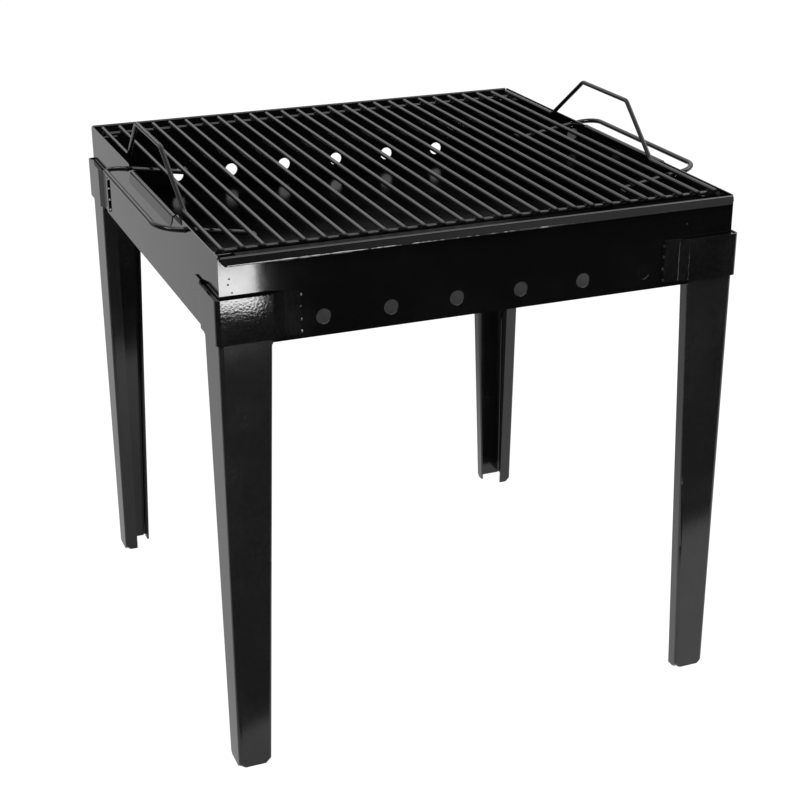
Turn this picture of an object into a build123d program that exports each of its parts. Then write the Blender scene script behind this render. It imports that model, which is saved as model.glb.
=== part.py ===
from build123d import *
import math
import os

# A knock-down camp grill of black enamelled sheet steel.
# X runs along the front wall to the right, Y from the front to the rear, Z up.
# The origin lies on the ground, under the middle of the fire box. Sizes are in millimetres.

# ---- driving sizes ----
box_width = 500.0          # fire box across X, over the outer faces of the side walls
box_depth = 500.0          # fire box across Y, over the outer faces of the front and rear walls
rim_height = 508.0         # top of the fire box above the ground
wall_height = 82.0         # front, rear and side walls
wall_sheet = 1.2           # sheet of the walls and of the floor pan

rim_hem_depth = 7.5        # height of the strip folded over at the top of the front and rear walls
rim_hem_bend = 0.8         # inner radius of that fold
rim_hem_opening = 20.0     # degrees that the folded strip leans away from the wall
rim_hem_end_gap = 2.0      # the fold stops this far short of the wall's ends
hem_corner_cut = 3.0       # cut across the lower corners of each folded strip

vent_count = 6             # round air holes along the front wall, and along the rear wall
vent_pitch = 63.0
vent_diameter = 14.0
vent_below_rim = 64.5      # hole centres below the rim

return_flange = 22.0       # side walls turn in behind the front and rear walls by this much
grate_rest_length = 36.0   # shelf folded from the flange's top, along the side wall
pan_edge_height = 9.0      # upturned edge of the floor pan
pan_fit = 0.2              # floor pan to walls
pan_to_flange = 1.0        # return flange above the upturned edge

leg_sheet = 2.0
leg_width_top = 48.0       # each flange of the angle leg, where it leaves the socket
leg_width_foot = 32.0
leg_lip = 14.0             # lip turned in along each free edge, over its outside
leg_bend = 4.0             # outer radius at the corner of the leg
leg_lip_bend = 3.0
leg_foot_nip = 6.0         # corners nipped off at the foot
leg_top_below_socket = 1.0
leg_slack = 0.9            # leg flange to wall, and to the socket's band
leg_side_slack = 1.5       # leg flange to the end of the socket's pocket
leg_stop_gap = 0.3         # lip's top under the fire box

socket_sheet = 1.6
socket_height = 41.0
socket_below_rim = 36.5
socket_joggle = 10.0       # length of the step down to the wall
socket_weld_flange = 15.0  # length welded flat to the wall
socket_bend = 4.5          # outer radius at the corner

bar_diameter = 4.5
bar_count = 27             # the first and the last are bent up into the lifting handles
bar_length = 464.0
bar_end_overhang = 10.0    # bars run past the cross rods
bar_above_rim = 0.0        # bar centres above the rim
grate_side_gap = 5.75      # outermost bar's side to the wall
rod_end_overhang = 1.0     # cross rods run past the outermost bars' sides
weld_sink = 0.3            # bars pressed into the cross rods by resistance welding
rest_gap = 0.3             # cross rod above the grate rest

lift_foot_span = 220.0     # lifting handle: between its feet, along the bar
lift_top_span = 96.0
lift_height = 47.0
lift_lean = 4.0            # its top leans outwards
lift_bend = 9.0            # centre-line radius of its bends

carry_wire = 5.0           # carry handle: round wire
carry_span = 224.0         # between its two shanks
carry_forward = 33.0       # middle of the handle, in front of the middle of the wall
carry_reach = 26.0         # grip's centre line, outside the wall
carry_inside = 62.0        # shank inside the wall, to the stop's centre line
carry_stop = 14.0          # stop turned out at each shank's end
carry_grip_bend = 20.0
carry_stop_bend = 6.0
carry_slope = 9.0          # degrees that the shanks drop towards the inside
carry_hole_below_rim = 5.8
carry_hole_fit = 0.5       # wire to hole, on the radius

tab_length = 165.0         # tab folded outwards over the wall between the shanks
tab_drop = 11.0            # height of the folded-down strip
tab_bend = 1.4
tab_opening = 12.0         # degrees that its strip leans away from the wall

# ---- worked-out sizes ----
half_width = box_width / 2
half_depth = box_depth / 2
box_bottom = rim_height - wall_height
leg_face = leg_slack + leg_sheet                   # leg's outer face outside the wall
socket_face = leg_face + leg_slack + socket_sheet  # socket's outer face outside the wall
socket_top = rim_height - socket_below_rim
socket_bottom = socket_top - socket_height
socket_pocket = leg_width_top + leg_side_slack     # from the leg's corner to the joggle
bar_level = rim_height + bar_above_rim
rod_level = bar_level - bar_diameter + weld_sink
grate_rest_top = rod_level - bar_diameter / 2 - rest_gap
outer_bar = half_width - wall_sheet - grate_side_gap - bar_diameter / 2
bar_pitch = 2 * outer_bar / (bar_count - 1)
rod_offset = bar_length / 2 - bar_end_overhang
rod_length = 2 * (outer_bar + bar_diameter / 2 + rod_end_overhang)
hole_level = rim_height - carry_hole_below_rim
corners = {
    "front_left": (-1, -1),
    "front_right": (1, -1),
    "rear_left": (-1, 1),
    "rear_right": (1, 1),
}

os.makedirs("parts", exist_ok=True)


def save(part, node):
    """Write one node's solid to its own file."""
    part.label = node
    export_step(part, f"parts/{node}.step")


def block(x_range, y_range, z_range):
    """A rectangular solid between the given limits."""
    sizes = [high - low for low, high in (x_range, y_range, z_range)]
    middle = [(high + low) / 2 for low, high in (x_range, y_range, z_range)]
    return Pos(*middle) * Box(*sizes)


def flip(part, side_x, side_y):
    """Mirror a part drawn at the front left so that it sits on the sides given as -1 or 1."""
    if side_x > 0:
        part = mirror(part, about=Plane.YZ)
    if side_y > 0:
        part = mirror(part, about=Plane.XZ)
    return part


def bent_sheet(points, radii, sheet):
    """The cross-section of a bent sheet, from the points along its outer face."""
    with BuildSketch() as section:
        with BuildLine():
            FilletPolyline(*points, radius=radii)
            offset(amount=sheet, side=Side.LEFT)
        make_face()
    return section.sketch


# ---- fire box ----
def folded_strip(length, top, drop, bend, opening):
    """A strip folded outwards over the top of a wall that runs along X with its outer face at y = 0.

    Its far side leans away from the wall by the opening angle, in degrees.
    """
    outer_bend = bend + wall_sheet
    bend_level = top - outer_bend
    run_up = outer_bend * math.tan(math.radians(90 - opening / 2))
    low = top - drop
    lean_out = (bend_level + run_up - low) * math.tan(math.radians(opening))
    points = [
        (wall_sheet, bend_level - wall_sheet),
        (wall_sheet, bend_level + run_up),
        (wall_sheet - lean_out, low),
    ]
    section = Plane.YZ * bent_sheet(points, outer_bend, wall_sheet)
    strip = Pos(-length / 2, 0, 0) * extrude(section, length)
    with BuildSketch(Plane.XZ) as corner:
        with BuildLine():
            Polyline(
                (-length / 2 - drop, low - drop),
                (-length / 2 + hem_corner_cut + drop, low - drop),
                (-length / 2 - drop, low + hem_corner_cut + drop),
                close=True,
            )
        make_face()
    wedge = extrude(corner.sketch, lean_out + wall_sheet)
    strip -= wedge
    strip -= mirror(wedge, about=Plane.YZ)
    return strip


def end_wall():
    """Front wall: a flat panel with a row of vents and its top edge folded over outwards."""
    top_of_flat = rim_height - rim_hem_bend - wall_sheet
    panel = block(
        (-half_width, half_width),
        (-half_depth, -half_depth + wall_sheet),
        (box_bottom, top_of_flat),
    )
    vent = Cylinder(vent_diameter / 2, 4 * wall_sheet, rotation=(90, 0, 0))
    for number in range(vent_count):
        across = (number - (vent_count - 1) / 2) * vent_pitch
        panel -= Pos(across, -half_depth, rim_height - vent_below_rim) * vent
    hem_length = box_width - 2 * rim_hem_end_gap
    hem = folded_strip(hem_length, rim_height, rim_hem_depth, rim_hem_bend, rim_hem_opening)
    return panel + Pos(0, -half_depth, 0) * hem


def side_wall():
    """Left wall: tab folded outwards, two holes for the carry handle, flanges and grate rests."""
    inner_face = -half_width + wall_sheet
    end = half_depth - wall_sheet
    wall = block((-half_width, inner_face), (-end, end), (box_bottom, rim_height))
    tab_flat = rim_height - tab_bend - wall_sheet
    tab_middle = -carry_forward
    tab_ends = (tab_middle - tab_length / 2, tab_middle + tab_length / 2)
    wall -= block((-half_width - wall_sheet, 0), tab_ends, (tab_flat, rim_height + wall_sheet))
    fold = folded_strip(tab_length, rim_height, tab_drop, tab_bend, tab_opening)
    wall += Pos(-half_width, tab_middle, 0) * Rot(0, 0, -90) * fold
    hole = Cylinder(carry_wire / 2 + carry_hole_fit, 4 * wall_sheet, rotation=(0, 90, 0))
    for side in (-1, 1):
        wall -= Pos(-half_width, tab_middle + side * carry_span / 2, hole_level) * hole
    flange_low = box_bottom + pan_edge_height + pan_to_flange
    rest_low = grate_rest_top - wall_sheet
    for side in (-1, 1):
        face = side * end
        flange = (face - side * wall_sheet, face)
        wall += block(
            (-half_width, -half_width + return_flange),
            (min(flange), max(flange)),
            (flange_low, rest_low),
        )
        rest = (face - side * grate_rest_length, face)
        wall += block(
            (inner_face, -half_width + return_flange),
            (min(rest), max(rest)),
            (rest_low, grate_rest_top),
        )
    return wall


def floor_pan():
    """The floor: a shallow tray whose upturned edge stands inside the four walls."""
    out_x = half_width - wall_sheet - pan_fit
    out_y = half_depth - wall_sheet - pan_fit
    in_x = out_x - wall_sheet
    in_y = out_y - wall_sheet
    tray = block((-out_x, out_x), (-out_y, out_y), (box_bottom, box_bottom + pan_edge_height))
    hollow = block((-in_x, in_x), (-in_y, in_y), (box_bottom + wall_sheet, rim_height))
    return tray - hollow


front_wall = end_wall()
left_wall = side_wall()
save(front_wall, "front_wall")
save(mirror(front_wall, about=Plane.XZ), "rear_wall")
save(left_wall, "left_wall")
save(mirror(left_wall, about=Plane.YZ), "right_wall")
save(floor_pan(), "floor_pan")


# ---- corner sockets and plug-in legs, drawn at the front left ----
def corner_socket():
    """A band round the corner, stepped down at both ends to lie flat on the walls."""
    corner_x = -half_width - socket_face
    corner_y = -half_depth - socket_face
    pocket_end = socket_pocket + leg_slack + socket_sheet
    flat = socket_sheet
    step_x = corner_x + pocket_end
    step_y = corner_y + pocket_end
    end_x = step_x + socket_joggle + socket_weld_flange
    end_y = step_y + socket_joggle + socket_weld_flange
    points = [
        (-half_width - flat, end_y),
        (-half_width - flat, step_y + socket_joggle),
        (corner_x, step_y),
        (corner_x, corner_y),
        (step_x, corner_y),
        (step_x + socket_joggle, -half_depth - flat),
        (end_x, -half_depth - flat),
    ]
    step_bend = 2 * socket_sheet
    radii = [step_bend, step_bend, socket_bend, step_bend, step_bend]
    band = extrude(bent_sheet(points, radii, socket_sheet), socket_height)
    return Pos(0, 0, socket_bottom) * band


def leg_section(width, level):
    """The leg's cross-section at a height: an angle with a lip turned in on each free edge."""
    corner_x = -half_width - leg_face
    corner_y = -half_depth - leg_face
    points = [
        (corner_x + leg_lip, corner_y + width),
        (corner_x, corner_y + width),
        (corner_x, corner_y),
        (corner_x + width, corner_y),
        (corner_x + width, corner_y + leg_lip),
    ]
    section = bent_sheet(points, [leg_lip_bend, leg_bend, leg_lip_bend], leg_sheet)
    return Pos(0, 0, level) * section


def foot_nip(place_x, place_y, turn):
    """A wedge that nips off a bend's lowest corner; turn points from the bend into the leg."""
    reach = leg_foot_nip / math.sqrt(2)
    with BuildSketch(Plane.XZ) as outline:
        with BuildLine():
            Polyline(
                (-reach, -reach),
                (reach, 0),
                (0, leg_foot_nip),
                (-reach, leg_foot_nip),
                close=True,
            )
        make_face()
    wedge = extrude(outline.sketch, leg_lip, both=True)
    return Pos(place_x, place_y, 0) * Rot(0, 0, turn) * wedge


def plug_in_leg():
    """A tapered angle leg: its plain top slides up into the socket until the lips meet the box."""
    corner_x = -half_width - leg_face
    corner_y = -half_depth - leg_face
    lip_top = box_bottom - leg_stop_gap
    shank = loft([leg_section(leg_width_foot, 0), leg_section(leg_width_top, lip_top)], ruled=True)
    tongue_points = [
        (corner_x, corner_y + leg_width_top),
        (corner_x, corner_y),
        (corner_x + leg_width_top, corner_y),
    ]
    tongue_top = socket_top - leg_top_below_socket
    tongue = extrude(bent_sheet(tongue_points, leg_bend, leg_sheet), tongue_top - lip_top)
    leg = shank + Pos(0, 0, lip_top) * tongue
    leg -= foot_nip(corner_x, corner_y, 45)
    leg -= foot_nip(corner_x + leg_width_foot, corner_y, 135)
    leg -= foot_nip(corner_x, corner_y + leg_width_foot, -45)
    return leg


socket = corner_socket()
leg = plug_in_leg()
for place, (side_x, side_y) in corners.items():
    save(flip(socket, side_x, side_y), f"corner_socket_{place}")
    save(flip(leg, side_x, side_y), f"leg_{place}")


# ---- carry handles ----
def bent_wire(points, radii, diameter):
    """Round wire bent along straight runs with an arc at each corner."""
    with BuildLine() as route:
        FilletPolyline(*points, radius=radii)
    start = Plane(origin=route.line @ 0, z_dir=route.line % 0)
    return sweep(start * Circle(diameter / 2), path=route.line)


def carry_handle():
    """Left handle: two shanks through the wall, a grip outside and a turned-out stop inside."""
    half_span = carry_span / 2
    points = [
        (carry_inside, -half_span - carry_stop, 0),
        (carry_inside, -half_span, 0),
        (-carry_reach, -half_span, 0),
        (-carry_reach, half_span, 0),
        (carry_inside, half_span, 0),
        (carry_inside, half_span + carry_stop, 0),
    ]
    radii = [carry_stop_bend, carry_grip_bend, carry_grip_bend, carry_stop_bend]
    wire = bent_wire(points, radii, carry_wire)
    hole_middle = -half_width + wall_sheet / 2
    return Pos(hole_middle, -carry_forward, hole_level) * Rot(0, carry_slope, 0) * wire


handle = carry_handle()
save(handle, "carry_handle_left")
save(mirror(handle, about=Plane.YZ), "carry_handle_right")


# ---- grate ----
def cross_rod(side):
    """A rod under the bars, across the front (-1) or the rear (1) of the grate."""
    rod = Cylinder(bar_diameter / 2, rod_length, rotation=(0, 90, 0))
    return Pos(0, side * rod_offset, rod_level) * rod


def grate_bar(across):
    """One straight bar, running from front to rear."""
    bar = Cylinder(bar_diameter / 2, bar_length, rotation=(90, 0, 0))
    return Pos(across, 0, bar_level) * bar


def lifting_bar(side):
    """An outermost bar, bent up in its middle into a lifting handle that leans outwards."""
    across = side * outer_bar
    top_across = across + side * lift_lean
    points = [
        (across, -bar_length / 2, bar_level),
        (across, -lift_foot_span / 2, bar_level),
        (top_across, -lift_top_span / 2, bar_level + lift_height),
        (top_across, lift_top_span / 2, bar_level + lift_height),
        (across, lift_foot_span / 2, bar_level),
        (across, bar_length / 2, bar_level),
    ]
    return bent_wire(points, [lift_bend] * 4, bar_diameter)


save(cross_rod(-1), "grate_rod_front")
save(cross_rod(1), "grate_rod_rear")
save(lifting_bar(-1), "lifting_bar_left")
save(lifting_bar(1), "lifting_bar_right")
for number in range(1, bar_count - 1):
    save(grate_bar(-outer_bar + number * bar_pitch), f"grate_bar_{number:02d}")
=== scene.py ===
import logging
import math
import random
from dataclasses import dataclass
from enum import Enum
from typing import Sequence, Union

import bpy
from mathutils import Matrix, Vector


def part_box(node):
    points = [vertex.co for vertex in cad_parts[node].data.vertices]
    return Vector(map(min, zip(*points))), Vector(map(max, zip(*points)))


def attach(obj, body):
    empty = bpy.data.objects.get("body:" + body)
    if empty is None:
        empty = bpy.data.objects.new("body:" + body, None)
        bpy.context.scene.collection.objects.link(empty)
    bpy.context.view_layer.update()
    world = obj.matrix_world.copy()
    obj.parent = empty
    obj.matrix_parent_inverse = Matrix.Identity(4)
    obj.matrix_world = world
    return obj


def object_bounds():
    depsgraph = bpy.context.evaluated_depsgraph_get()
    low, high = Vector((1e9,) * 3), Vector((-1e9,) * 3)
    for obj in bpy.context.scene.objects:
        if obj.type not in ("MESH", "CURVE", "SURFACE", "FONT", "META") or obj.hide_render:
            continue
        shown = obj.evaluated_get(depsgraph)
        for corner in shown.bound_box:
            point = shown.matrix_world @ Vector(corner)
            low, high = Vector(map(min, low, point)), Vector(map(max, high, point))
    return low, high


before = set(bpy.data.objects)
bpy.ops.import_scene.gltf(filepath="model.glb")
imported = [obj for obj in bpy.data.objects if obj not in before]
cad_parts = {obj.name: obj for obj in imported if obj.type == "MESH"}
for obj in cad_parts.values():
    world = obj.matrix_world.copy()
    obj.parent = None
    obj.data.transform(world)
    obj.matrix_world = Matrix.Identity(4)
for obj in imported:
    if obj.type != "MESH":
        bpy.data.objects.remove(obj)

CAD_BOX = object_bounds()
LOG = logging.getLogger("camp_grill")
MM = 0.001


# ---------------------------------------------------------------- shader maths
class Signal:
    """A number that varies over a surface: one node socket that takes part in arithmetic."""

    def __init__(self, graph: "Graph", socket: bpy.types.NodeSocket) -> None:
        """Keep the graph and the output socket that carries the number."""
        self.graph = graph
        self.socket = socket

    def _maths(self, operation: str, first: "Number", second: "Number") -> "Signal":
        """Add one Math node.

        Args:
            operation: The Math node's operation.
            first: The upper operand.
            second: The lower operand.

        Returns:
            The node's result.
        """
        return self.graph.signal("ShaderNodeMath", {"operation": operation}, {0: first, 1: second})

    def __add__(self, other: "Number") -> "Signal":
        """Sum."""
        return self._maths("ADD", self, other)

    def __sub__(self, other: "Number") -> "Signal":
        """Difference."""
        return self._maths("SUBTRACT", self, other)

    def __rsub__(self, other: "Number") -> "Signal":
        """Difference with the plain number first."""
        return self._maths("SUBTRACT", other, self)

    def __mul__(self, other: "Number") -> "Signal":
        """Product."""
        return self._maths("MULTIPLY", self, other)

    __radd__ = __add__
    __rmul__ = __mul__

    def step(self, low: float, high: float) -> "Signal":
        """A smooth step from 0 at low to 1 at high.

        Args:
            low: Where the step starts.
            high: Where it ends, which may be below low for a falling step.

        Returns:
            The stepped signal.
        """
        settings = {"interpolation_type": "SMOOTHSTEP"}
        inputs = {"Value": self, "From Min": low, "From Max": high}
        return self.graph.signal("ShaderNodeMapRange", settings, inputs)


Number = Union[float, Signal]


class Graph:
    """A node tree that is filled by name, with one method that makes any node."""

    def __init__(self, tree: bpy.types.NodeTree) -> None:
        """Take over a tree and empty it."""
        self.tree = tree
        tree.nodes.clear()

    def node(self, kind: str, settings: dict | None = None, inputs: dict | None = None) -> bpy.types.Node:
        """Make one node.

        Args:
            kind: The node's type name.
            settings: Properties to set first.
            inputs: Values or links for its sockets, by name or number.

        Returns:
            The new node.
        """
        made = self.tree.nodes.new(kind)
        for name, value in (settings or {}).items():
            setattr(made, name, value)
        for name, value in (inputs or {}).items():
            if isinstance(value, Signal):
                value = value.socket
            if isinstance(value, bpy.types.NodeSocket):
                self.tree.links.new(value, made.inputs[name])
            else:
                made.inputs[name].default_value = value
        return made

    def signal(self, kind: str, settings: dict, inputs: dict, output: int | str = 0) -> Signal:
        """Make one node and return one of its outputs as a signal."""
        return Signal(self, self.node(kind, settings, inputs).outputs[output])

    def place(self) -> bpy.types.NodeSocket:
        """Return the surface's own coordinates, in metres."""
        return self.node("ShaderNodeTexCoord").outputs["Object"]

    def stretched(self, place: bpy.types.NodeSocket, scale: Sequence[float]) -> bpy.types.NodeSocket:
        """Return coordinates scaled along each axis."""
        settings = {"operation": "MULTIPLY"}
        return self.node("ShaderNodeVectorMath", settings, {0: place, 1: tuple(scale)}).outputs[0]

    def noise(self, place: bpy.types.NodeSocket, size: float, detail: float = 2.0) -> Signal:
        """Soft noise about 0.5.

        Args:
            place: The coordinates that it reads.
            size: The width of its lumps, in metres.
            detail: How many finer layers it has.

        Returns:
            The noise, from about 0.2 to 0.8.
        """
        inputs = {"Vector": place, "Scale": 1 / size, "Detail": detail}
        return self.signal("ShaderNodeTexNoise", {}, inputs, "Fac")

    def blend(self, share: Number, first: Sequence[float], second: Sequence[float]) -> bpy.types.NodeSocket:
        """Mix two colours by a signal."""
        inputs = {0: share, 6: (*first, 1.0), 7: (*second, 1.0)}
        return self.node("ShaderNodeMix", {"data_type": "RGBA"}, inputs).outputs[2]


# ---------------------------------------------------------------- finishes
@dataclass(frozen=True)
class Enamel:
    """Black enamel fired on steel. Sizes and depths are in metres."""

    name: str
    colour: tuple[float, float, float]
    haze: tuple[float, float, float]
    roughness: float
    roughness_spread: float
    peel_size: float
    peel_depth: float
    wave_size: float = 0.09
    wave_depth: float = 0.0
    speckle: float = 0.0
    index: float = 1.5
    haze_size: float = 0.045
    pinhole_size: float = 0.0028
    pinhole_share: float = 0.25
    speckle_size: float = 0.0036
    wave_stretch: tuple[float, float, float] = (1.0, 1.0, 0.6)

    def material(self) -> bpy.types.Material:
        """Build the enamel: a dark glassy coat with orange peel, faint haze, pinholes and slow waves.

        Returns:
            The finished material.
        """
        made = bpy.data.materials.new(self.name)
        made.use_nodes = True
        graph = Graph(made.node_tree)
        place = graph.place()
        haze = graph.noise(place, self.haze_size, 4.0).step(0.42, 0.75)
        pinholes = graph.noise(place, self.pinhole_size, 1.0).step(0.77, 0.84)
        speckle = graph.noise(place, self.speckle_size, 3.0).step(0.38, 0.64) * self.speckle
        peel = graph.noise(place, self.peel_size, 2.0)
        height = peel * self.peel_depth - pinholes * (self.pinhole_share * self.peel_depth)
        if self.wave_depth > 0:
            waves = graph.noise(graph.stretched(place, self.wave_stretch), self.wave_size, 0.5)
            height = height + waves * self.wave_depth
        rough = self.roughness + (haze + peel * 0.4) * self.roughness_spread
        bump = graph.node("ShaderNodeBump", {}, {"Strength": 1.0, "Distance": 1.0, "Height": height})
        shader = graph.node("ShaderNodeBsdfPrincipled", {}, {
            "Base Color": graph.blend(haze * 0.5 + pinholes * 0.3 + speckle, self.colour, self.haze),
            "Roughness": rough,
            "IOR": self.index,
            "Normal": bump.outputs[0],
        })
        graph.node("ShaderNodeOutputMaterial", {}, {"Surface": shader.outputs[0]})
        return made


BOX_ENAMEL = Enamel(
    "box_enamel", (0.0026, 0.0026, 0.0028), (0.0050, 0.0050, 0.0052), 0.05, 0.03, 0.006, 0.7e-5,
)
# A darker copy of the box enamel: painted shade for the inside of the box, and its lower index dims its gloss
# there.
PAN_SHADED_ENAMEL = Enamel(
    "pan_enamel_painted_shade", (0.0012, 0.0012, 0.0012), (0.004, 0.004, 0.004), 0.12, 0.10, 0.006, 0.9e-5, index=1.12,
)
WALL_ENAMEL = Enamel(
    "side_wall_enamel", (0.0026, 0.0026, 0.0028), (0.006, 0.006, 0.0062), 0.018, 0.012, 0.006, 0.5e-5,
    wave_size=0.10, wave_depth=1.6e-4,
)
SOCKET_ENAMEL = Enamel(
    "socket_enamel", (0.0034, 0.0034, 0.0034), (0.009, 0.009, 0.009), 0.040, 0.02, 0.0022, 2.0e-5,
    speckle=0.5,
)
LEG_ENAMEL = Enamel(
    "leg_enamel", (0.0096, 0.0096, 0.0098), (0.0168, 0.0168, 0.0171), 0.10, 0.05, 0.0030, 1.4e-5,
    speckle=0.35,
)
WIRE_ENAMEL = Enamel("wire_enamel", (0.005, 0.005, 0.005), (0.012, 0.012, 0.012), 0.14, 0.10, 0.004, 1.6e-5)


@dataclass(frozen=True)
class PaintedGlintEdge:
    """Edge beads and weld nuggets: a painted highlight, lighter metallic steel colour in random patches, with
    more of it towards the left-hand side.
    """

    name: str = "painted_glint_edge"
    enamel: tuple[float, float, float] = (0.010, 0.010, 0.010)
    # lighter metallic colour that paints the highlight
    steel: tuple[float, float, float] = (0.46, 0.46, 0.465)
    patch: float = 0.007
    glint_side_from: float = 0.06
    glint_side_to: float = -0.14
    roughness: float = 0.22
    roughness_spread: float = 0.15
    depth: float = 1.0e-4

    def material(self) -> bpy.types.Material:
        """Build the finish: a painted highlight, lighter metallic steel colour in random patches with more of
        it towards the left-hand side.

        Returns:
            The finished material.
        """
        made = bpy.data.materials.new(self.name)
        made.use_nodes = True
        graph = Graph(made.node_tree)
        place = graph.place()
        parts = graph.node("ShaderNodeSeparateXYZ", {}, {0: place})
        # painted highlight: more of the steel colour towards the left-hand side, where the highlight falls
        painted_glint_side = Signal(graph, parts.outputs[0]).step(self.glint_side_from, self.glint_side_to)
        patches = graph.noise(place, self.patch, 3.0)
        # painted highlight share: random patches plus the left-hand bias
        shown = (patches + painted_glint_side * 0.25).step(0.54, 0.80)
        rough = self.roughness + patches * self.roughness_spread
        height = patches * self.depth
        bump = graph.node("ShaderNodeBump", {}, {"Strength": 1.0, "Distance": 1.0, "Height": height})
        shader = graph.node("ShaderNodeBsdfPrincipled", {}, {
            "Base Color": graph.blend(shown, self.enamel, self.steel),
            "Metallic": shown,
            "Roughness": rough,
            "Normal": bump.outputs[0],
        })
        graph.node("ShaderNodeOutputMaterial", {}, {"Surface": shader.outputs[0]})
        return made


# ---------------------------------------------------------------- the studio
class Ray(Enum):
    """Which rays a studio surface answers differently."""

    CAMERA = "Is Camera Ray"
    GLOSSY = "Is Glossy Ray"


@dataclass
class Viewpoint:
    """The camera: its place in metres, its aim in degrees and its lens in millimetres."""

    place: tuple[float, float, float] = (-0.5922, -1.5251, 0.9357)
    yaw: float = 21.623
    pitch: float = 23.004
    roll: float = -0.210
    lens: float = 74.29
    sensor: float = 36.0

    def axes(self) -> tuple[Vector, Vector, Vector]:
        """Return the camera's right, up and forward directions."""
        yaw, pitch, roll = (math.radians(a) for a in (self.yaw, self.pitch, self.roll))
        forward = Vector((math.sin(yaw) * math.cos(pitch), math.cos(yaw) * math.cos(pitch), -math.sin(pitch)))
        level = Vector((math.cos(yaw), -math.sin(yaw), 0.0))
        upright = level.cross(forward)
        right = level * math.cos(roll) + upright * math.sin(roll)
        return right, right.cross(forward), forward

    def build(self) -> bpy.types.Object:
        """Make the camera and put it in charge of the scene."""
        data = bpy.data.cameras.new("viewpoint")
        data.sensor_width = self.sensor
        data.lens = self.lens
        data.clip_start = 0.05
        data.clip_end = 60.0
        camera = bpy.data.objects.new("viewpoint", data)
        bpy.context.scene.collection.objects.link(camera)
        right, up, forward = self.axes()
        turn = Matrix((right, up, -forward)).transposed().to_4x4()
        camera.matrix_world = Matrix.Translation(self.place) @ turn
        bpy.context.scene.camera = camera
        return camera


@dataclass(frozen=True)
class Lamp:
    """One lamp aimed at the middle of the grill: its place and size in metres, and its power in watts."""

    name: str
    place: tuple[float, float, float]
    power: float
    size: tuple[float, float]

    def build(self) -> None:
        """Hang the lamp."""
        data = bpy.data.lights.new(self.name, "AREA")
        data.energy = self.power
        data.shape = "RECTANGLE"
        data.size, data.size_y = self.size
        lamp = bpy.data.objects.new(self.name, data)
        bpy.context.scene.collection.objects.link(lamp)
        lamp.location = self.place
        low, high = (Vector(corner) for corner in CAD_BOX)
        aim = (low + high) / 2 - Vector(self.place)
        lamp.rotation_euler = aim.to_track_quat("-Z", "Y").to_euler()


LAMPS = (
    Lamp("key_lamp", (-1.5, -1.7, 2.2), 30.0, (1.1, 1.1)),
    Lamp("fill_lamp", (1.9, -0.4, 2.0), 14.0, (1.4, 1.4)),
    Lamp("top_lamp", (0.5, -0.9, 2.4), 20.0, (2.4, 0.6)),
    Lamp("low_lamp", (0.107, -1.508, 0.03), 0.5, (0.09, 0.09)),
)


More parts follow.
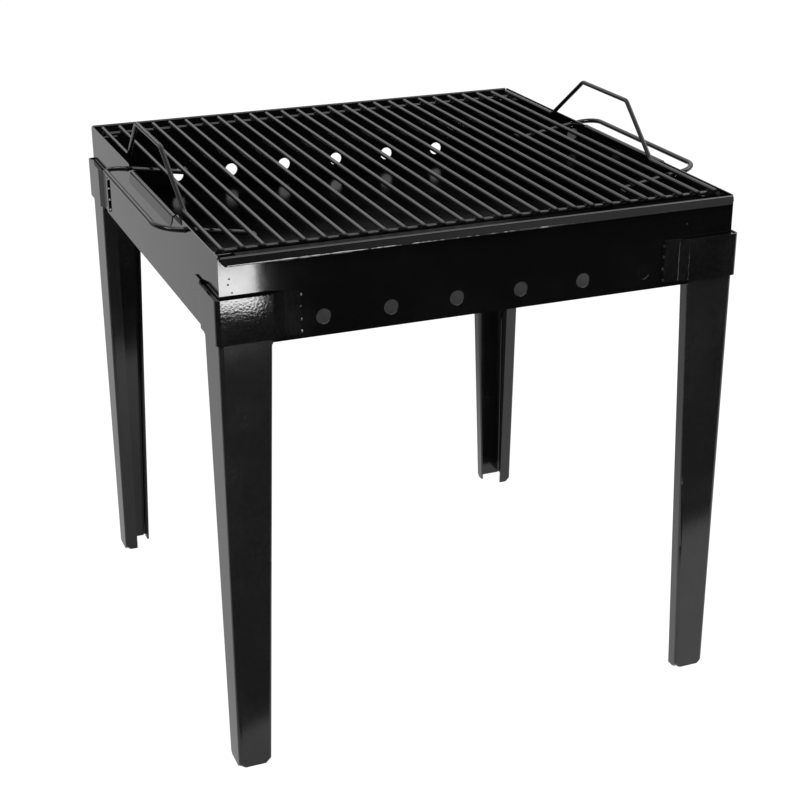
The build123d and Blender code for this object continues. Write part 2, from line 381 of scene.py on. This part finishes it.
@dataclass
class Studio:
    """A floor and a room that look white, and lamps.

    Gloss mirrors something else: white paper up to a straight front edge, dimmer on its left-hand side, and a
    dark room in front of it that is lighter higher up. Facings are in degrees from +Y towards +X.
    """

    floor_size: float = 40.0
    paper_front: float = -0.372
    facing: float = 21.6
    paper_facing: float = 18.7
    soft_edge: float = 0.014
    side_light: float = 0.55
    room_light: float = 0.50
    dark: float = 0.012
    backdrop_light: float = 1.05
    ceiling_light: float = 0.10
    ceiling_gain: float = 0.48
    paper_colour: tuple[float, float, float, float] = (0.9, 0.9, 0.9, 1.0)
    paper_light: float = 1.13
    paper_share: float = 0.86
    tooth_size: float = 0.4
    tooth_depth: float = 0.01

    def _is(self, graph: Graph, ray: Ray) -> Signal:
        """Return 1 for rays of one kind."""
        return graph.signal("ShaderNodeLightPath", {}, {}, ray.value)

    def _parts(self, graph: Graph, place: bpy.types.NodeSocket) -> tuple[Signal, Signal, Signal]:
        """Split a position or a direction into its x, y and z."""
        parts = graph.node("ShaderNodeSeparateXYZ", {}, {0: place})
        return tuple(Signal(graph, socket) for socket in parts.outputs)

    def _turned(self, x: Signal, y: Signal, facing: float) -> tuple[Signal, Signal]:
        """Return how far a place lies along a facing, in degrees from +Y towards +X, and across it."""
        along, across = math.sin(math.radians(facing)), math.cos(math.radians(facing))
        return x * along + y * across, x * across - y * along

    def room(self) -> None:
        """Light the world: white to look at, and in reflections dark in front and light behind and above."""
        world = bpy.data.worlds.new("room")
        bpy.context.scene.world = world
        world.use_nodes = True
        graph = Graph(world.node_tree)
        direction = graph.node("ShaderNodeTexCoord").outputs["Generated"]
        x, y, up = self._parts(graph, direction)
        along, across = self._turned(x, y, self.facing)
        behind = along.step(-0.25, 0.15)
        backdrop = up.step(0.10, 0.33) * self.backdrop_light
        right = across.step(0.57, 0.72) * self.ceiling_gain
        ceiling = up.step(0.06, 0.16) * (self.ceiling_light + right)
        mirrored = self.dark + behind * backdrop + (1 - behind) * ceiling
        seen = self._is(graph, Ray.CAMERA)
        glossy = self._is(graph, Ray.GLOSSY)
        level = seen + (1 - seen) * (glossy * mirrored + (1 - glossy) * self.room_light)
        light = graph.node("ShaderNodeBackground", {}, {"Color": (1.0, 1.0, 1.0, 1.0), "Strength": level})
        graph.node("ShaderNodeOutputWorld", {}, {"Surface": light.outputs[0]})

    def floor(self) -> None:
        """Lay the paper floor, which keeps the object's shadow."""
        bpy.ops.object.select_all(action="DESELECT")
        bpy.ops.mesh.primitive_plane_add(size=self.floor_size, location=(0.0, 0.0, 0.0))
        floor = bpy.context.object
        floor.name = "floor"
        made = bpy.data.materials.new("paper")
        made.use_nodes = True
        graph = Graph(made.node_tree)
        place = graph.place()
        x, y, _ = self._parts(graph, place)
        along, _ = self._turned(x, y, self.paper_facing)
        _, across = self._turned(x, y, self.facing)
        edge = self.soft_edge
        paper = along.step(self.paper_front - edge, self.paper_front + edge)
        side = across.step(0.10, -0.25)
        level = 1 - side * (1 - self.side_light)
        tooth = graph.noise(place, self.tooth_size, 2.0) * self.tooth_depth
        matte = graph.node("ShaderNodeBsdfDiffuse", {}, {"Color": self.paper_colour})
        lit = graph.node("ShaderNodeEmission", {}, {"Strength": self.paper_light - tooth})
        mirrored = graph.node("ShaderNodeEmission", {}, {"Strength": self.dark + paper * level})
        seen = self._is(graph, Ray.CAMERA)
        glossy = self._is(graph, Ray.GLOSSY)
        share = seen * self.paper_share
        base = graph.node("ShaderNodeMixShader", {}, {0: share, 1: matte.outputs[0], 2: lit.outputs[0]})
        whole = graph.node("ShaderNodeMixShader", {}, {0: glossy, 1: base.outputs[0], 2: mirrored.outputs[0]})
        graph.node("ShaderNodeOutputMaterial", {}, {"Surface": whole.outputs[0]})
        floor.data.materials.append(made)

    def build(self) -> None:
        """Make the room, the floor and the lamps."""
        self.room()
        self.floor()
        for lamp in LAMPS:
            lamp.build()
        bpy.context.scene.view_settings.view_transform = "Standard"


# ---------------------------------------------------------------- dressing
def dress(nodes: Sequence[str], material: bpy.types.Material) -> None:
    """Give CAD nodes a finish through their material slots."""
    for name in nodes:
        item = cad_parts[name]
        if not item.material_slots:
            item.data.materials.append(material)
        for slot in item.material_slots:
            slot.link = "OBJECT"
            slot.material = material


CORNERS = {"front_left": (-1, -1), "front_right": (1, -1), "rear_left": (-1, 1), "rear_right": (1, 1)}


def nodes_like(*starts: str) -> list[str]:
    """Return the CAD nodes whose names start with any of the given words."""
    return sorted(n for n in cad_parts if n.startswith(starts))


# ---------------------------------------------------------------- details
def nugget(name: str, seed: int, sides: int = 10, rings: int = 7) -> bpy.types.Object:
    """Model one small lump of weld metal or enamel at the origin, about one unit in radius and flat below.

    Args:
        name: The object's name.
        seed: Fixes the lump's unevenness.
        sides: Faces round it.
        rings: Faces from top to bottom.

    Returns:
        The lump, smooth and closed, with its normals outwards.
    """
    bpy.ops.object.select_all(action="DESELECT")
    bpy.ops.mesh.primitive_uv_sphere_add(
        segments=sides, ring_count=rings, radius=1.0, location=(0.0, 0.0, 0.0),
    )
    lump = bpy.context.object
    lump.name = name
    bpy.ops.object.mode_set(mode="EDIT")
    bpy.ops.mesh.select_all(action="SELECT")
    bpy.ops.transform.vertex_random(offset=0.12, uniform=0.2, normal=0.8, seed=seed)
    bpy.ops.mesh.bisect(plane_co=(0.0, 0.0, -0.6), plane_no=(0.0, 0.0, 1.0), clear_inner=True, use_fill=True)
    bpy.ops.mesh.select_all(action="SELECT")
    bpy.ops.mesh.normals_make_consistent(inside=False)
    bpy.ops.object.mode_set(mode="OBJECT")
    bpy.ops.object.shade_smooth()
    return lump


def copied(
    source: bpy.types.Object, place: Vector, out: Vector, radius: float, height: float,
) -> bpy.types.Object:
    """Copy a lump onto a surface.

    Args:
        source: The lump, at the origin.
        place: Where its middle goes.
        out: The surface's outward direction.
        radius: Its radius along the surface.
        height: How far it stands out of the surface.

    Returns:
        The copy, with its place and size in its own mesh.
    """
    copy = source.copy()
    copy.data = source.data.copy()
    bpy.context.scene.collection.objects.link(copy)
    turn = out.to_track_quat("Z", "Y").to_matrix().to_4x4()
    copy.data.transform(Matrix.Translation(place) @ turn @ Matrix.Diagonal((radius, radius, height, 1.0)))
    return copy


def joined(
    name: str, parts: Sequence[bpy.types.Object], finish: bpy.types.Material, body: str,
) -> None:
    """Join copies into one piece, finish it and let it ride on its body.

    Args:
        name: The piece's name.
        parts: The copies.
        finish: Its material.
        body: The CAD body that it moves with.
    """
    bpy.ops.object.select_all(action="DESELECT")
    for part in parts:
        part.select_set(True)
    bpy.context.view_layer.objects.active = parts[0]
    bpy.ops.object.join()
    piece = bpy.context.object
    piece.name = name
    piece.data.name = name
    piece.data.materials.clear()
    piece.data.materials.append(finish)
    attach(piece, body)
    LOG.info("%s: %d faces", name, len(piece.data.polygons))


@dataclass
class SocketWelds:
    """Weld nuggets where the corner sockets' ends and the walls' corners are joined."""

    finish: bpy.types.Material
    end: float = 0.1785
    levels: tuple[float, ...] = (0.4665, 0.4560, 0.4440, 0.4330)
    spots_left: tuple[tuple[float, float], ...] = ((0.2407, 0.4884), (0.2418, 0.4832), (0.2386, 0.4757))
    spots_right: tuple[tuple[float, float], ...] = ((0.2012, 0.4852),)
    face: float = 0.2500
    height: float = 1.7 * MM
    spot_height: float = 0.6 * MM

    def build(self) -> None:
        """Set a column of nuggets at each end of each socket, and spot welds beside each corner."""
        source = nugget("weld_nugget", 3)
        dice = random.Random(11)
        for corner, (side_x, side_y) in CORNERS.items():
            front = Vector((0.0, float(side_y), 0.0))
            flank = Vector((float(side_x), 0.0, 0.0))
            parts = []
            for level in self.levels:
                drift = dice.uniform(-0.6, 0.6) * MM
                size = dice.uniform(1.3, 1.8) * MM
                along_front = Vector((side_x * (self.end + drift), side_y * self.face, level))
                along_side = Vector((side_x * self.face, side_y * (self.end + drift), level))
                parts.append(copied(source, along_front, front, size, self.height))
                parts.append(copied(source, along_side, flank, size, self.height))
            for across, level in self.spots_left if side_x < 0 else self.spots_right:
                place = Vector((side_x * across, side_y * self.face, level))
                parts.append(copied(source, place, front, dice.uniform(0.8, 1.1) * MM, self.spot_height))
            joined(f"tack_welds_{corner}", parts, self.finish, "fire_box")
        bpy.data.objects.remove(source)


@dataclass
class GrateWelds:
    """Weld flash where the bars cross the two rods, and enamel rounded over the bars' ends."""

    finish: bpy.types.Material
    flash: float = 1.75 * MM
    half_bar: float = 2.25 * MM
    handle_inset: float = 4.0 * MM
    spread: float = 1.4 * MM
    cap: float = 2.2 * MM

    def build(self) -> None:
        """Set a lump at both sides of every crossing and a cap on every bar's end."""
        source = nugget("bar_lump", 5, sides=8, rings=6)
        dice = random.Random(23)
        bars = nodes_like("grate_bar", "lifting_bar")
        lumps, caps = [], []
        for bar in bars:
            low, high = (Vector(corner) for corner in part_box(bar))
            lifting = bar.startswith("lifting_bar")
            middle_x = high.x - self.half_bar if lifting and low.x >= 0 else low.x + self.half_bar
            if lifting:
                middle_x = math.copysign(abs(middle_x) - self.handle_inset, middle_x)
            for rod in ("grate_rod_front", "grate_rod_rear"):
                rod_low, rod_high = (Vector(corner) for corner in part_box(rod))
                rod_y = (rod_low.y + rod_high.y) / 2
                joint_z = (rod_high.z + low.z) / 2
                for side in (-1, 1):
                    drift = dice.uniform(-0.5, 0.5) * MM
                    place = Vector((middle_x + side * self.spread, rod_y + drift, joint_z))
                    size = self.flash * dice.uniform(0.8, 1.1)
                    lumps.append(copied(source, place, Vector((side, 0.0, -0.3)), size, size * 0.8))
            for side, end in ((-1, low.y), (1, high.y)):
                place = Vector((middle_x, end, low.z + self.half_bar))
                height = dice.uniform(0.8, 1.3) * MM
                caps.append(copied(source, place, Vector((0.0, side, 0.0)), self.cap, height))
        joined("grate_weld_flash", lumps, self.finish, "grate")
        joined("bar_end_caps", caps, self.finish, "grate")
        bpy.data.objects.remove(source)


@dataclass
class HemBead:
    """Enamel that ran down the folded strip and set as an uneven bead along its lower edge."""

    finish: bpy.types.Material
    length: float = 0.491
    level: float = 0.50090
    face: float = 0.25440
    radius: float = 0.66 * MM
    steps: int = 260
    sides: int = 8

    def _strand(self, side: int) -> bpy.types.Object:
        """Model one strand: a strip of faces rolled into a closed, uneven tube along the hem."""
        dice = random.Random(41 + side)
        bpy.ops.object.select_all(action="DESELECT")
        bpy.ops.mesh.primitive_grid_add(
            x_subdivisions=self.steps, y_subdivisions=self.sides, size=2.0, location=(0.0, 0.0, 0.0),
        )
        strand = bpy.context.object
        girth = [1.0]
        for _ in range(self.steps):
            girth.append(min(1.35, max(0.55, girth[-1] + dice.uniform(-0.22, 0.22))))
        for vertex in strand.data.vertices:
            share = (vertex.co.x + 1) / 2
            turn = math.pi * vertex.co.y * side
            swell = 1.0 - 0.45 * max(0.0, share - 0.55) / 0.45
            taper = min(1.0, 120 * share, 120 * (1 - share))
            radius = self.radius * girth[round(share * self.steps)] * swell * taper
            across = (share - 0.5) * self.length
            place = (across, side * self.face + radius * math.cos(turn), self.level - radius * math.sin(turn))
            vertex.co = place
        bpy.ops.object.mode_set(mode="EDIT")
        bpy.ops.mesh.select_all(action="SELECT")
        bpy.ops.mesh.remove_doubles(threshold=1e-6)
        bpy.ops.mesh.normals_make_consistent(inside=False)
        bpy.ops.object.mode_set(mode="OBJECT")
        bpy.ops.object.shade_smooth()
        return strand

    def build(self) -> None:
        """Model the bead along both hems."""
        for name, side in (("front", -1), ("rear", 1)):
            joined(f"hem_bead_{name}", [self._strand(side)], self.finish, "fire_box")


def main() -> None:
    """Build the studio, dress the grill and add its details."""
    logging.basicConfig(level=logging.INFO, format="%(name)s: %(message)s")
    Viewpoint().build()
    Studio().build()
    dress(nodes_like("front_wall", "rear_wall"), BOX_ENAMEL.material())
    dress(nodes_like("floor_pan"), PAN_SHADED_ENAMEL.material())
    dress(nodes_like("left_wall", "right_wall"), WALL_ENAMEL.material())
    dress(nodes_like("corner_socket"), SOCKET_ENAMEL.material())
    dress(nodes_like("leg_"), LEG_ENAMEL.material())
    wire = WIRE_ENAMEL.material()
    # painted highlight: a lighter metallic finish for the weld nuggets and hem beads, stronger on the
    # left-hand side
    bead = PaintedGlintEdge().material()
    dress(nodes_like("grate_", "lifting_bar", "carry_handle"), wire)
    SocketWelds(bead).build()
    GrateWelds(wire).build()
    HemBead(bead).build()


if __name__ == "__main__":
    main()
